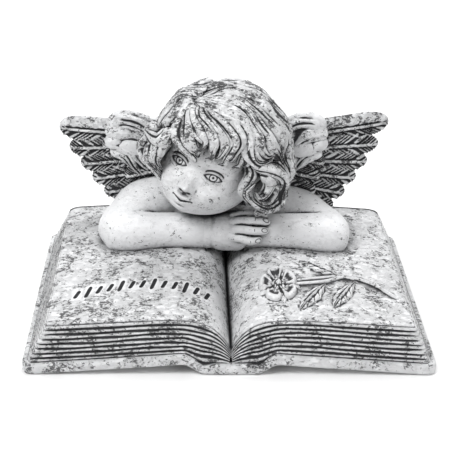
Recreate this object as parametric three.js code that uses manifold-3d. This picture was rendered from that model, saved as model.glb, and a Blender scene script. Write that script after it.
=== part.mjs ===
// A memorial figurine: a winged child rests its head on folded arms, on an open book.
// It is cast in one piece, so every form below is joined into a single closed solid.
// Millimetres. +X is the viewer's right, +Y goes back, +Z goes up.
// The origin is at the middle of the underside, under the book's spine.
import * as THREE from "three";
import { mergeVertices } from "three/addons/utils/BufferGeometryUtils.js";
import Module from "manifold-3d";

const wasm = await Module();
wasm.setup();

// Driving dimensions
const COVER_WIDTH = 250;
const COVER_DEPTH = 165;
const COVER_THICKNESS = 7;
const COVER_CORNER = 6;
const COVER_ARCH = 6.8; // how high the cover's underside arches between foot and spine
const FOOT_WIDTH = 7; // the flat strip along each outer edge that the book stands on
const SPINE_WIDTH = 30; // the flat underside of the spine
const SPINE_FLARE = 14; // how far out the cover climbs beside the spine
const PAGE_MARGIN = 14.5; // from the cover's side edge to the top leaf's edge
const PAGE_END_MARGIN = 5; // from the cover's front and back edges to the top leaf's
const PAGE_OUTER_HEIGHT = 31.5;
const PAGE_SWELL = 24.5; // how far the pages rise out of the gutter
const PAGE_ROLL = 8; // how fast they rise
const PAGE_FALL = 7.4; // how far they fall again towards the outer edge
const PAGE_FRONT_CORNER = 2.5;
const PAGE_BACK_CORNER = 7;
const LEAF_COUNT = 8;
const LEAF_GROOVE = 1.2; // depth of the grooves between leaves
const LEAF_FAN = 8; // how much further out the lowest leaf reaches than the top one
const LEAF_SPREAD = 10; // how far from the middle plane the lowest leaf is bound
const RELIEF_HEIGHT = 2.2;
const FLOWER_WIDTH = 24; // across the page
const FLOWER_LENGTH = 39; // down the page, long because it is seen from a low angle
const STROKE_DEPTH = 0.9;
const STROKE_COUNT = 13;
const HEAD_WIDTH = 71;
const HEAD_DEPTH = 78;
const HEAD_HEIGHT = 83;
const CROWN_LEAN = 6; // degrees the hair's whorl lies behind the top of the head
const HAIR_THICKNESS = 4;
const FLUTE_DEPTH = 2.2;
const LOCK_DEPTH = 3.2;
const FOREARM_RADIUS = 12.5;
const FINGER_RADIUS = 2.9;
const FINGER_LENGTH = 22;
const WING_THICKNESS = 4.6;
const PRIMARY_COUNT = 6;
const COVERT_COUNT = 4;

const halfPage = COVER_WIDTH / 2 - PAGE_MARGIN;
const pageEnd = COVER_DEPTH / 2 - PAGE_END_MARGIN;

const vec = (x, y, z) => new THREE.Vector3(x, y, z);
const rad = THREE.MathUtils.degToRad;
const smooth = THREE.MathUtils.smoothstep;
const mix = THREE.MathUtils.lerp;
const clamp = THREE.MathUtils.clamp;

// A closed three.js geometry as a solid that can be joined and cut.
function solidOf(geometry) {
  const bare = new THREE.BufferGeometry();
  bare.setAttribute("position", geometry.getAttribute("position"));
  bare.setIndex(geometry.index);
  const merged = mergeVertices(bare, 1e-4);
  return new wasm.Manifold(
    new wasm.Mesh({
      numProp: 3,
      vertProperties: new Float32Array(merged.attributes.position.array),
      triVerts: new Uint32Array(merged.index.array),
    }),
  );
}

// 1 along a form's length, and a round fall to 0 over a share of it at each end.
function roundEnds(t, share) {
  const nearEnd = Math.min(t, 1 - t);
  if (nearEnd >= share) return 1;
  return Math.sqrt(Math.max(0, 1 - (1 - nearEnd / share) ** 2));
}

// A sphere whose rings are moved along a path. path(t) is the ring's centre, out(t) the way its
// depth points, and half(t) gives half the width and half the depth there. The rings lie closer
// together at both ends, so that the ends are round.
function bentForm({ path, out, half, around = 8, rings = 7, ridge = 0 }) {
  const geometry = new THREE.SphereGeometry(1, around, rings);
  const position = geometry.attributes.position;
  const step = 1e-3;
  for (let i = 0; i < position.count; i++) {
    const t = clamp((1 - position.getY(i)) / 2, 0, 1);
    const angle = Math.atan2(position.getZ(i), position.getX(i));
    const along = path(Math.min(1, t + step)).sub(path(Math.max(0, t - step))).normalize();
    const depthWay = out(t).clone();
    depthWay.addScaledVector(along, -depthWay.dot(along)).normalize();
    const widthWay = vec(0, 0, 0).crossVectors(depthWay, along);
    const [width, depth] = half(t);
    const crest = 1 + ridge * Math.max(0, Math.sin(angle)) ** 3;
    const point = path(t)
      .addScaledVector(widthWay, width * Math.cos(angle))
      .addScaledVector(depthWay, depth * crest * Math.sin(angle));
    position.setXYZ(i, point.x, point.y, point.z);
  }
  return geometry;
}

// A smooth path through a few points.
function pathThrough(points) {
  const curve = new THREE.CatmullRomCurve3(points, false, "centripetal");
  return (t) => curve.getPoint(clamp(t, 0, 1));
}

function ellipsoid(centre, halfSizes, around = 14, rings = 9) {
  return new THREE.SphereGeometry(1, around, rings)
    .rotateX(Math.PI / 2)
    .scale(...halfSizes)
    .translate(...centre);
}

// A shape in the XZ plane, extruded from front to back.
function alongBook(shape, front, back) {
  return new THREE.ExtrudeGeometry(shape, { depth: back - front, bevelEnabled: false })
    .rotateX(Math.PI / 2)
    .translate(0, back, 0);
}

// A rounded rectangle seen from above, as a prism for trimming corners.
function roundedPrism(halfX, halfY, corner, height) {
  const shape = new THREE.Shape();
  shape.moveTo(-halfX + corner, -halfY);
  shape.lineTo(halfX - corner, -halfY);
  shape.absarc(halfX - corner, -halfY + corner, corner, -Math.PI / 2, 0);
  shape.lineTo(halfX, halfY - corner);
  shape.absarc(halfX - corner, halfY - corner, corner, 0, Math.PI / 2);
  shape.lineTo(-halfX + corner, halfY);
  shape.absarc(-halfX + corner, halfY - corner, corner, Math.PI / 2, Math.PI);
  shape.lineTo(-halfX, -halfY + corner);
  shape.absarc(-halfX + corner, -halfY + corner, corner, Math.PI, 1.5 * Math.PI);
  return new THREE.ExtrudeGeometry(shape, {
    depth: height,
    bevelEnabled: false,
    curveSegments: 3,
  }).translate(0, 0, -1);
}

// Book

// Height of the cover's underside at a distance from the spine's middle.
function underside(distance) {
  const climb = smooth(distance, SPINE_WIDTH / 2, SPINE_WIDTH / 2 + SPINE_FLARE);
  const footEdge = COVER_WIDTH / 2 - FOOT_WIDTH;
  const fall = THREE.MathUtils.clamp(
    (footEdge - distance) / (footEdge - SPINE_WIDTH / 2 - SPINE_FLARE), 0, 1);
  return COVER_ARCH * climb * fall;
}

// Height of the pages' top surface.
function pageTop(distance) {
  const gutter = PAGE_OUTER_HEIGHT + PAGE_FALL - PAGE_SWELL;
  const rise = PAGE_SWELL * (1 - Math.exp(-distance / PAGE_ROLL));
  return gutter + rise - (PAGE_FALL * distance) / halfPage;
}

function coverTop(distance) {
  return underside(distance) + COVER_THICKNESS;
}

function coverSolid() {
  const halfWidth = COVER_WIDTH / 2;
  const edge = COVER_THICKNESS / 2;
  const steps = 6;
  const flareEnd = SPINE_WIDTH / 2 + SPINE_FLARE;
  const distances = [0];
  for (let i = 0; i <= steps; i++) distances.push(mix(SPINE_WIDTH / 2, flareEnd, i / steps));
  distances.push(halfWidth - FOOT_WIDTH, halfWidth - edge);
  const lower = distances.map((d) => new THREE.Vector2(d, underside(d)));
  const upper = distances.map((d) => new THREE.Vector2(d, coverTop(d))).reverse();
  const rim = [45, 90, 135].map((turn) => new THREE.Vector2(
    halfWidth - edge + edge * Math.sin(rad(turn)), edge - edge * Math.cos(rad(turn))));
  const right = [...lower, ...rim, ...upper];
  const left = right.slice(1, -1).reverse().map((p) => new THREE.Vector2(-p.x, p.y));
  const slab = solidOf(
    alongBook(new THREE.Shape([...right, ...left]), -COVER_DEPTH / 2, COVER_DEPTH / 2));
  const outline = roundedPrism(halfWidth, COVER_DEPTH / 2, COVER_CORNER, 60);
  return slab.intersect(solidOf(outline));
}

// One half of the page block: a box whose columns follow the open page, and whose rows step in
// and out between the leaves.
function pageBlock(side) {
  const columns = 8;
  const rows = LEAF_COUNT * 2;
  const geometry = new THREE.BoxGeometry(1, 1, 1, columns, 1, rows);
  const position = geometry.attributes.position;
  for (let i = 0; i < position.count; i++) {
    const column = Math.round((position.getX(i) + 0.5) * columns);
    const row = Math.round((position.getZ(i) + 0.5) * rows);
    const front = position.getY(i) < 0;
    const height = row / rows;
    const groove = row % 2 === 1 || row === rows ? 0 : LEAF_GROOVE;
    const fan = (1 - height) ** 1.3;
    const reach = halfPage + LEAF_FAN * fan - groove * 1.3;
    const corner = front ? PAGE_FRONT_CORNER : PAGE_BACK_CORNER;
    const start = mix(LEAF_SPREAD, -0.6, height);
    const share = Math.min(1, column / (columns - 1));
    const distance = column === columns
      ? reach : start + (reach - corner - start) * share ** 1.9;
    const end = pageEnd + 1.5 * fan - groove - (column === columns ? corner : 0);
    const z = mix(coverTop(distance) - 0.8, pageTop(distance), height);
    position.setXYZ(i, side * distance, front ? -end : end, z);
  }
  if (side < 0) {
    const corners = geometry.index.array;
    for (let i = 0; i < corners.length; i += 3) {
      [corners[i], corners[i + 1]] = [corners[i + 1], corners[i]];
    }
  }
  return solidOf(geometry);
}

// The binding that shows between the leaves at both ends of the gutter.
function bindingSolid() {
  const gutter = pageTop(0);
  const end = pageEnd - 2;
  const wedge = new THREE.Shape([
    new THREE.Vector2(-LEAF_SPREAD - 2, COVER_THICKNESS - 2),
    new THREE.Vector2(LEAF_SPREAD + 2, COVER_THICKNESS - 2),
    new THREE.Vector2(1.5, gutter - 0.2),
    new THREE.Vector2(-1.5, gutter - 0.2),
  ]);
  return solidOf(alongBook(wedge, -end, end));
}

// A point on the pages, and the way the page faces there.
function onPage(x, y, lift = 0) {
  return vec(x, y, pageTop(Math.abs(x)) + lift);
}

function pageNormal(x) {
  const step = 0.5;
  const slope = (pageTop(Math.abs(x + step)) - pageTop(Math.abs(x - step))) / (2 * step);
  return vec(-slope, 0, 1).normalize();
}

// A blade, such as a petal or a leaf of the sprig, laid on the right-hand page.
function blade(from, to, halfWidth, height, fullness) {
  const x = (t) => mix(from[0], to[0], t);
  return bentForm({
    path: (t) => onPage(x(t), mix(from[1], to[1], t), height * 0.1),
    out: (t) => pageNormal(x(t)),
    half: (t) => {
      const swell = Math.sin(Math.PI * t ** fullness) ** 0.8;
      return [halfWidth * swell, height * Math.min(1, swell * 1.5)];
    },
    around: 6,
    rings: 4,
  });
}

// The five-petalled flower and its sprig.
function flowerRelief() {
  const flower = [30.5, -36];
  const forms = [];
  for (let petal = 0; petal < 5; petal++) {
    const turn = rad(100 + petal * 72);
    const at = (share) => [
      flower[0] + share * FLOWER_WIDTH / 2 * Math.cos(turn),
      flower[1] + share * FLOWER_LENGTH / 2 * Math.sin(turn)];
    const halfWidth = mix(FLOWER_WIDTH, FLOWER_LENGTH, Math.abs(Math.cos(turn))) * 0.23;
    forms.push(blade(at(0.1), at(1), halfWidth, RELIEF_HEIGHT * 1.3, 1.5));
  }
  forms.push(ellipsoid(onPage(...flower, 1.2).toArray(), [2.8, 4.2, 3.4], 6, 4));
  const stem = pathThrough([
    onPage(40, -36), onPage(60, -31), onPage(75, -24), onPage(90, -31), onPage(104, -47)]);
  forms.push(bentForm({
    path: stem,
    out: () => vec(0, 0, 1),
    half: (t) => [1.3 * roundEnds(t, 0.05), 1.4 * roundEnds(t, 0.05)],
    around: 4,
    rings: 7,
  }));
  forms.push(blade([70, -24], [46, -6], 4.2, RELIEF_HEIGHT * 0.8, 1));
  forms.push(blade([61, -32], [41, -66], 5, RELIEF_HEIGHT * 0.8, 1.2));
  forms.push(blade([80, -28], [62, -61], 5, RELIEF_HEIGHT * 0.8, 1.2));
  return forms.map(solidOf);
}

// The inscription's place holds a row of shallow strokes, on a gentle arc.
function strokeCutters() {
  return Array.from({ length: STROKE_COUNT }, (_, i) => {
    const share = i / (STROKE_COUNT - 1);
    const x = mix(-94, -14, share);
    const middle = -44 + 9 * Math.sin(Math.PI * share);
    const length = i % 3 === 1 ? 13 : 9;
    const from = onPage(x - 1.4, middle - length / 2);
    const to = onPage(x + 1.4, middle + length / 2);
    return solidOf(bentForm({
      path: (t) => from.clone().lerp(to, t),
      out: () => pageNormal(x),
      half: (t) => [1.2 * roundEnds(t, 0.2), STROKE_DEPTH * roundEnds(t, 0.2)],
      around: 4,
      rings: 4,
    }));
  });
}

function bookSolid() {
  let book = coverSolid().add(pageBlock(1)).add(pageBlock(-1)).add(bindingSolid());
  for (const form of flowerRelief()) book = book.add(form);
  for (const cutter of strokeCutters()) book = book.subtract(cutter);
  return book;
}

// Body

// A limb through joints, each [x, y, z, radius].
function limb(joints, around = 10, rings = 7) {
  const path = pathThrough(joints.map(([x, y, z]) => vec(x, y, z)));
  const radiusAt = (t) => {
    const place = t * (joints.length - 1);
    const i = Math.min(Math.floor(place), joints.length - 2);
    return mix(joints[i][3], joints[i + 1][3], smooth(place - i, 0, 1));
  };
  return bentForm({
    path,
    out: () => vec(0, -0.5, 0.85),
    half: (t) => {
      const radius = radiusAt(t) * roundEnds(t, 0.18);
      return [radius, radius];
    },
    around,
    rings,
  });
}

const armRest = 43; // height of the forearms' middle
const armFront = 20; // how far back the forearms' middle is

function bodySolids() {
  return [
    // chest and back, which slope down to the book's back edge
    ellipsoid([0, 55, 42], [50, 24, 24], 12, 8),
    ellipsoid([-4, 42, 56], [22, 20, 16], 8, 6),
    // upper arms
    limb([[-30, 56, 54, 16], [-56, 47, 48, 18], [-69, 32, 43, 15], [-76, 20, 40, 13]]),
    limb([[26, 56, 48, 16], [50, 47, 43, 17], [64, 34, 40, 15], [74, 20, 38, 13]]),
    // forearms
    limb([[-81, 24, 39, 13], [-66, 20, armRest - 2, 14.5], [-40, armFront, armRest, FOREARM_RADIUS],
      [2, armFront, armRest, 11.5]]),
    limb([[80, 24, 38, 13], [66, 20, armRest - 2, 14.5], [40, armFront, armRest, FOREARM_RADIUS],
      [-10, 26, armRest - 6, 9]]),
    // the uppermost hand
    ellipsoid([0, armFront, armRest + 0.5], [14, 12.5, 12.5], 10, 7),
    ...fingers(),
  ].map(solidOf);
}

function fingers() {
  const reach = FOREARM_RADIUS + 0.4;
  const forms = [];
  for (let finger = 0; finger < 4; finger++) {
    const turn = rad(8 + 24 * finger);
    const length = FINGER_LENGTH * (finger === 3 ? 0.72 : 1);
    const knuckle = vec(5, armFront - reach * Math.sin(turn), armRest + reach * Math.cos(turn));
    const bend = vec(length * 0.6, -0.4, 0.3);
    const tip = vec(length + 3, 1, -2.2);
    forms.push(bentForm({
      path: pathThrough([knuckle, knuckle.clone().add(bend), knuckle.clone().add(tip)]),
      out: () => vec(0, -Math.sin(turn), Math.cos(turn)),
      half: (t) => {
        const radius = mix(FINGER_RADIUS, FINGER_RADIUS * 0.85, t) * roundEnds(t, 0.14);
        return [radius, radius];
      },
      around: 6,
      rings: 6,
    }));
  }
  return forms;
}

// Head

const headCentre = vec(-9.5, 35, 95.5);
const headTurn = new THREE.Matrix4()
  .makeRotationZ(rad(-16))
  .multiply(new THREE.Matrix4().makeRotationX(rad(-11)))
  .multiply(new THREE.Matrix4().makeRotationY(rad(21)))
  .setPosition(headCentre);

// A soft bump of the given half widths, at a place on the front of the face.
function bump(x, z, [atX, atZ], [wideX, wideZ]) {
  return Math.exp(-(((x - atX) / wideX) ** 2) - ((z - atZ) / wideZ) ** 2);
}

// How far the features stand forward of the plain head. The proportions are the usual ones for
// a small child: eyes at half height, the nose's base halfway from there to the chin.
function features(x, z) {
  const side = Math.abs(x);
  const bridge = smooth(-z, -6, 16) * bump(x, 0, [0, 0], [3.6, 1]) * smooth(z, -21, -17);
  return (
    1.6 * bump(side, z, [12, 7], [9, 4]) // brow
    - 3.4 * bump(side, z, [13, -3], [7, 5.5]) // eye sockets
    + 2.6 * bump(side, z, [13, -3.5], [4.8, 3.4]) // eyeballs
    + 7.5 * bridge // nose
    + 1.8 * bump(side, z, [4.6, -17], [2.6, 2.6]) // nostrils
    + 3.2 * bump(side, z, [20, -16], [9, 9]) // cheeks
    + 2.4 * bump(x, z, [0, -26], [10, 5]) // mouth
    + 1.2 * bump(x, z, [0, -23.6], [6, 1.8]) // lips
    + 1.6 * bump(x, z, [0, -28.4], [5, 1.9])
    + 4 * bump(x, z, [0, -37], [9, 5]) // chin
  );
}

// The head without hair, in its own upright frame: face to -Y, crown to +Z.
function headForm() {
  const geometry = new THREE.SphereGeometry(1, 22, 18);
  const position = geometry.attributes.position;
  for (let i = 0; i < position.count; i++) {
    const share = Math.acos(clamp(position.getY(i), -1, 1)) / Math.PI;
    const way = Math.atan2(position.getX(i), position.getZ(i));
    const turn = way - 0.62 * Math.sin(way); // closer columns over the face
    const height = share < 0.2 ? 1 - share * 3.5 : mix(0.3, -1, (share - 0.2) / 0.8);
    const low = Math.max(0, -height);
    const narrow = (power) => height > 0
      ? Math.sqrt(1 - height ** 2) : Math.max(0, 1 - low ** power) ** (1 / power);
    const x = (HEAD_WIDTH / 2) * narrow(2.3) * Math.sin(turn);
    const z = (HEAD_HEIGHT / 2) * height;
    const ahead = Math.max(0, Math.cos(turn));
    const deep = (HEAD_DEPTH / 2) * narrow(Math.cos(turn) > 0 ? 3.2 : 2.2);
    const relief = features(x, z) * Math.min(1, ahead * 1.6) * Math.min(1, narrow(2) * 1.5);
    position.setXYZ(i, x, -deep * Math.cos(turn) - relief, z);
  }
  return geometry;
}

// A point over the skull. Turn runs from the face to the viewer's right, fall from the whorl.
function onSkull(turn, fall, lift) {
  const way = vec(
    Math.sin(rad(fall)) * Math.sin(rad(turn)),
    -Math.sin(rad(fall)) * Math.cos(rad(turn)),
    Math.cos(rad(fall)),
  ).applyAxisAngle(vec(1, 0, 0), rad(-CROWN_LEAN));
  return vec(way.x * HEAD_WIDTH, way.y * HEAD_DEPTH, way.z * HEAD_HEIGHT)
    .multiplyScalar(0.5)
    .addScaledVector(way, lift);
}

// The hair as a whole: a cap in flutes that wave down from the whorl.
function hairCap() {
  const flutes = 16;
  const geometry = new THREE.SphereGeometry(1, flutes * 2, 10);
  const position = geometry.attributes.position;
  for (let i = 0; i < position.count; i++) {
    const share = Math.acos(clamp(position.getY(i), -1, 1)) / Math.PI;
    const way = THREE.MathUtils.radToDeg(Math.atan2(position.getX(i), position.getZ(i)));
    const column = Math.round((way / 360) * flutes * 2);
    const hem = mix(80, 122, smooth(Math.abs(way), 40, 105));
    const along = Math.min(1, share / 0.78);
    const fall = hem * along;
    const turn = way + 8 * Math.sin(rad(fall * 3));
    const flute = column % 2 === 0 ? FLUTE_DEPTH * smooth(along, 0, 0.3) : 0;
    const inside = smooth(share, 0.78, 1);
    const point = onSkull(turn, fall, HAIR_THICKNESS + flute).multiplyScalar(1 - inside);
    position.setXYZ(i, point.x, point.y, point.z);
  }
  return geometry;
}

// A lock of hair that follows a path over the skull, each point [turn, fall, lift].
function lock(points, width) {
  const path = pathThrough(points.map((p) => onSkull(...p)));
  return bentForm({
    path,
    out: (t) => path(t).normalize(),
    half: (t) => {
      const taper = roundEnds(t, 0.12) * mix(1, 0.35, smooth(t, 0.4, 1));
      return [(width / 2) * taper, LOCK_DEPTH * taper];
    },
    around: 5,
    rings: 6,
    ridge: 0.2,
  });
}

// A curl: a lock that winds up round a centre on the skull.
function curl(turn, fall, lift, radius, width, winding, start) {
  const centre = onSkull(turn, fall, lift);
  const normal = centre.clone().normalize();
  const level = vec(0, 0, 1).addScaledVector(normal, -normal.z).normalize();
  const across = vec(0, 0, 0).crossVectors(level, normal);
  const path = (t) => {
    const angle = rad(start) + winding * t;
    const reach = radius * (1 - 0.7 * t);
    return centre.clone()
      .addScaledVector(across, reach * Math.cos(angle))
      .addScaledVector(level, reach * Math.sin(angle))
      .addScaledVector(normal, 3 * t);
  };
  return bentForm({
    path,
    out: () => normal,
    half: (t) => {
      const taper = roundEnds(t, 0.1) * mix(1, 0.55, t);
      return [(width / 2) * taper, width * 0.55 * taper];
    },
    around: 5,
    rings: 10,
  });
}

// A row of locks side by side, between a first and a last one.
function lockRow(count, first, last, width) {
  return Array.from({ length: count }, (_, i) => {
    const share = i / (count - 1);
    const points = first.map((point, k) => point.map((value, n) => mix(value, last[k][n], share)));
    return lock(points, width);
  });
}

function hairForms() {
  const lift = HAIR_THICKNESS;
  return [
    hairCap(),
    // fringe
    ...lockRow(7,
      [[-42, 50, lift], [-44, 70, lift + 3], [-30, 86, lift + 3], [-32, 94, lift + 1]],
      [[2, 44, lift], [28, 56, lift + 4], [40, 70, lift + 3], [33, 81, lift + 1]],
      12),
    // the sweep from the parting to the viewer's right
    ...lockRow(5,
      [[-38, 44, lift + 1], [10, 46, lift + 4], [44, 66, lift + 5], [72, 78, lift + 6]],
      [[150, 12, lift + 1], [114, 36, lift + 3], [104, 66, lift + 3], [108, 98, lift + 3]],
      15),
    // the short sweep to the viewer's left
    ...lockRow(3,
      [[-44, 46, lift], [-58, 60, lift + 5], [-64, 78, lift + 4], [-56, 90, lift + 1]],
      [[-150, 14, lift], [-118, 40, lift + 3], [-104, 66, lift + 2], [-108, 96, lift + 2]],
      15),
    // curls beside the face
    curl(88, 104, 3, 12, 10, -9, 140),
    curl(-62, 97, 4, 7.5, 8, 5.5, 60),
    ...lockRow(2,
      [[-76, 92, lift], [-70, 110, lift + 2], [-46, 126, lift]],
      [[-52, 96, lift], [-48, 108, lift + 2], [-36, 118, lift]],
      9),
    lock([[110, 92, lift], [102, 112, lift + 2], [86, 128, lift]], 10),
  ];
}

function headSolids() {
  return [headForm(), ...hairForms()].map((form) => solidOf(form.applyMatrix4(headTurn)));
}

// Wings

// One feather from a root to a tip, with a raised rib.
function feather(root, tip, width, normal, thickness) {
  return bentForm({
    path: (t) => root.clone().lerp(tip, t).addScaledVector(normal, 1.5 * Math.sin(Math.PI * t)),
    out: () => normal,
    half: (t) => {
      const swell = roundEnds(t, 0.3);
      return [(width / 2) * swell, (thickness / 2) * swell];
    },
    around: 4,
    rings: 5,
    ridge: 0.4,
  });
}

// The two wings differ in how far out the bend lies, and where the first feather's tip is.
function wingSolids(side, bendReach, tipReach, tipHeight) {
  const normal = vec(0.12 * side, -0.97, 0.2).normalize();
  const place = (x, y, z) => vec(side * x, y, z);
  const forms = [];
  for (let i = 0; i < PRIMARY_COUNT; i++) {
    const share = i / (PRIMARY_COUNT - 1);
    const tip = place(mix(tipReach, 76, share ** 1.1), mix(72, 65, share),
      mix(tipHeight, 39, share ** 0.85));
    const root = place(mix(bendReach - 6, 44, share), mix(64, 60, share), mix(95, 52, share));
    forms.push(feather(root, tip, mix(18, 14, share), normal, WING_THICKNESS));
  }
  for (let i = 0; i < COVERT_COUNT; i++) {
    const share = i / (COVERT_COUNT - 1);
    const tip = place(mix(bendReach + 14, 62, share), mix(62, 59, share), mix(86, 54, share));
    const root = place(mix(bendReach - 16, 36, share), 58, mix(94, 62, share));
    forms.push(feather(root, tip, 13, normal, WING_THICKNESS * 1.3));
  }
  const bend = place(bendReach, 62, 98);
  forms.push(bentForm({
    path: pathThrough([place(20, 62, 74), place(42, 63, 92), bend.clone()]),
    out: () => normal,
    half: (t) => [mix(15, 11, t) * roundEnds(t, 0.2), mix(8, 5.5, t) * roundEnds(t, 0.2)],
    around: 6,
    rings: 6,
  }));
  forms.push(ellipsoid(bend.toArray(), [11.5, 8, 12], 8, 6));
  return forms.map(solidOf);
}

// The whole casting

function castingSolid() {
  let casting = bookSolid();
  const forms = [...bodySolids(), ...headSolids(), 
    ...wingSolids(1, 56, 111, 102), ...wingSolids(-1, 70, 114, 95)];
  for (const form of forms) casting = casting.add(form);
  return casting;
}

// A casting has no sealed pockets: of the solid's closed shells, only the ones that enclose
// material stay, and the ones that enclose air between overlapping forms go.
function withoutPockets({ vertProperties, triVerts }) {
  const shellOf = Array.from({ length: vertProperties.length / 3 }, (_, i) => i);
  const find = (i) => {
    let top = i;
    while (shellOf[top] !== top) top = shellOf[top];
    shellOf[i] = top;
    return top;
  };
  for (let i = 0; i < triVerts.length; i += 3) {
    shellOf[find(triVerts[i + 1])] = find(triVerts[i]);
    shellOf[find(triVerts[i + 2])] = find(triVerts[i]);
  }
  const corner = (i) => new THREE.Vector3().fromArray(vertProperties, triVerts[i] * 3);
  const volumes = new Map();
  for (let i = 0; i < triVerts.length; i += 3) {
    const shell = find(triVerts[i]);
    const volume = corner(i).cross(corner(i + 1)).dot(corner(i + 2)) / 6;
    volumes.set(shell, (volumes.get(shell) ?? 0) + volume);
  }
  return triVerts.filter((_, i) => volumes.get(find(triVerts[i - (i % 3)])) > 0);
}

function meshOf(solid, name, material) {
  const mesh3 = solid.getMesh();
  const geometry = new THREE.BufferGeometry();
  geometry.setAttribute("position", new THREE.BufferAttribute(mesh3.vertProperties, 3));
  geometry.setIndex(new THREE.BufferAttribute(withoutPockets(mesh3), 1));
  geometry.computeVertexNormals();
  const mesh = new THREE.Mesh(geometry, material);
  mesh.name = name;
  return mesh;
}

const castStone = new THREE.MeshStandardMaterial({
  color: 0xc9c9cb,
  roughness: 0.6,
  metalness: 0,
});

const figurine = new THREE.Group();
figurine.add(meshOf(castingSolid(), "memorial_angel", castStone));

export default figurine;
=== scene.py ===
"""A cast memorial figurine: a winged child rests on an open book, in antiqued pale stone."""

import math

import bmesh
import bpy
import numpy as np
from mathutils import Matrix, Vector
from mathutils.bvhtree import BVHTree


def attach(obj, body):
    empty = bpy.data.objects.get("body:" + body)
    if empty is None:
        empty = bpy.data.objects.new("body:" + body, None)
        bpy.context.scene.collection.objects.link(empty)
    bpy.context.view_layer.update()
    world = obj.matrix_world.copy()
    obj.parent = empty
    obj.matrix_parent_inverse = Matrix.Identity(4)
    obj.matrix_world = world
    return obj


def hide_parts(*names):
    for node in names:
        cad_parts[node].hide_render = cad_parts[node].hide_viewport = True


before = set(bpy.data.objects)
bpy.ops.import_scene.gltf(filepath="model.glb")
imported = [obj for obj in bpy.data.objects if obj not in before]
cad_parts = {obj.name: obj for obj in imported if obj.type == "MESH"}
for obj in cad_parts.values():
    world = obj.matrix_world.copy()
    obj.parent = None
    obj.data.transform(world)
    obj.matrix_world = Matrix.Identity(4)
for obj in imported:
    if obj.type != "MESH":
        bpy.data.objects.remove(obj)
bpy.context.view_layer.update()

MM = 0.001
rng = np.random.default_rng(7)

# Sizes and places in millimetres, the solid's but for three: the leaves fan out further
# (LEAF_FAN) and meet closer at the gutter (LEAF_SPREAD), and the pages rise more slowly
# (PAGE_ROLL)

COVER_WIDTH = 250.0
COVER_DEPTH = 165.0
COVER_THICKNESS = 7.0
COVER_CORNER = 6.0
COVER_ARCH = 6.8
FOOT_WIDTH = 7.0
SPINE_WIDTH = 30.0
SPINE_FLARE = 14.0
PAGE_MARGIN = 14.5
PAGE_END_MARGIN = 5.0
PAGE_OUTER_HEIGHT = 31.5
PAGE_SWELL = 24.5
PAGE_ROLL = 10.0
PAGE_FALL = 7.4
PAGE_FRONT_CORNER = 2.5
PAGE_BACK_CORNER = 7.0
LEAF_COUNT = 8
LEAF_GROOVE = 1.2
LEAF_FAN = 12.0
LEAF_SPREAD = 1.2
RELIEF_HEIGHT = 2.2
FLOWER_WIDTH = 24.0
FLOWER_LENGTH = 39.0
STROKE_DEPTH = 0.9
STROKE_COUNT = 13
ARM_REST = 43.0
ARM_FRONT = 20.0
HEAD_WIDTH = 71.0
HEAD_DEPTH = 78.0
HEAD_HEIGHT = 83.0
HEAD_CENTRE = (-9.5, 35.0, 95.5)
CROWN_LEAN = 6.0
HAIR_THICKNESS = 4.0
FLUTE_DEPTH = 2.2
LOCK_DEPTH = 3.2
FOREARM_RADIUS = 12.5
FINGER_RADIUS = 2.9
FINGER_LENGTH = 22.0
WING_THICKNESS = 4.6
PRIMARY_COUNT = 6
COVERT_COUNT = 4

# Finer things that only the looks have

COVER_EDGE = 2.6
ARM_GRAIN = 1.4  # size of the mesh's faces
HAND_GRAIN = 0.5
CROWN_START = 132.0  # above this height the hair's waves are pressed flatter
CROWN_PRESS = 0.74
BACK_LOCKS = 9  # in each tier
BARB_DEPTH = 1.9
WASH_REACH = 2.4  # how far off something encloses a point: nearby for the wash, further off for painted shade
SHADE_REACH = 18.0
CREASE_ANGLE = 42.0

half_page = COVER_WIDTH / 2 - PAGE_MARGIN
page_end = COVER_DEPTH / 2 - PAGE_END_MARGIN
foot_edge = COVER_WIDTH / 2 - FOOT_WIDTH
arch_start = SPINE_WIDTH / 2 + SPINE_FLARE


# Small sums

def mix(a, b, share):
    return a + (b - a) * share


def smooth(x, low, high):
    share = np.clip((np.asarray(x, float) - low) / (high - low), 0, 1)
    return share * share * (3 - 2 * share)


def unit(vectors):
    vectors = np.asarray(vectors, float)
    length = np.linalg.norm(vectors, axis=-1, keepdims=True)
    return vectors / np.maximum(length, 1e-12)


def round_ends(t, share):
    near_end = np.minimum(t, 1 - t)
    inside = np.clip(1 - near_end / share, 0, 1)
    return np.sqrt(np.maximum(0, 1 - inside**2))


def path_through(points):
    """A smooth path through a few points, as a function of an array of shares of its length."""
    points = np.asarray(points, float)
    ends = [2 * points[0] - points[1], *points, 2 * points[-1] - points[-2]]
    knots = np.asarray(ends)

    def at(t):
        t = np.clip(np.atleast_1d(np.asarray(t, float)), 0, 1)
        place = t * (len(points) - 1)
        first = np.minimum(place.astype(int), len(points) - 2)
        w = (place - first)[:, None]
        p0, p1, p2, p3 = (knots[first + k] for k in range(4))
        d0, d1, d2 = (
            np.maximum(np.linalg.norm(b - a, axis=1, keepdims=True) ** 0.5, 1e-4)
            for a, b in ((p0, p1), (p1, p2), (p2, p3))
        )
        m1 = ((p1 - p0) / d0 - (p2 - p0) / (d0 + d1) + (p2 - p1) / d1) * d1
        m2 = ((p2 - p1) / d1 - (p3 - p1) / (d1 + d2) + (p3 - p2) / d2) * d1
        c2 = -3 * p1 + 3 * p2 - 2 * m1 - m2
        c3 = 2 * p1 - 2 * p2 + m1 + m2
        return p1 + m1 * w + c2 * w**2 + c3 * w**3

    return at


# Making and finishing a form

def deselect():
    if bpy.context.mode != "OBJECT":
        bpy.ops.object.mode_set(mode="OBJECT")
    bpy.ops.object.select_all(action="DESELECT")


def choose(obj):
    deselect()
    obj.select_set(True)
    bpy.context.view_layer.objects.active = obj


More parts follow.
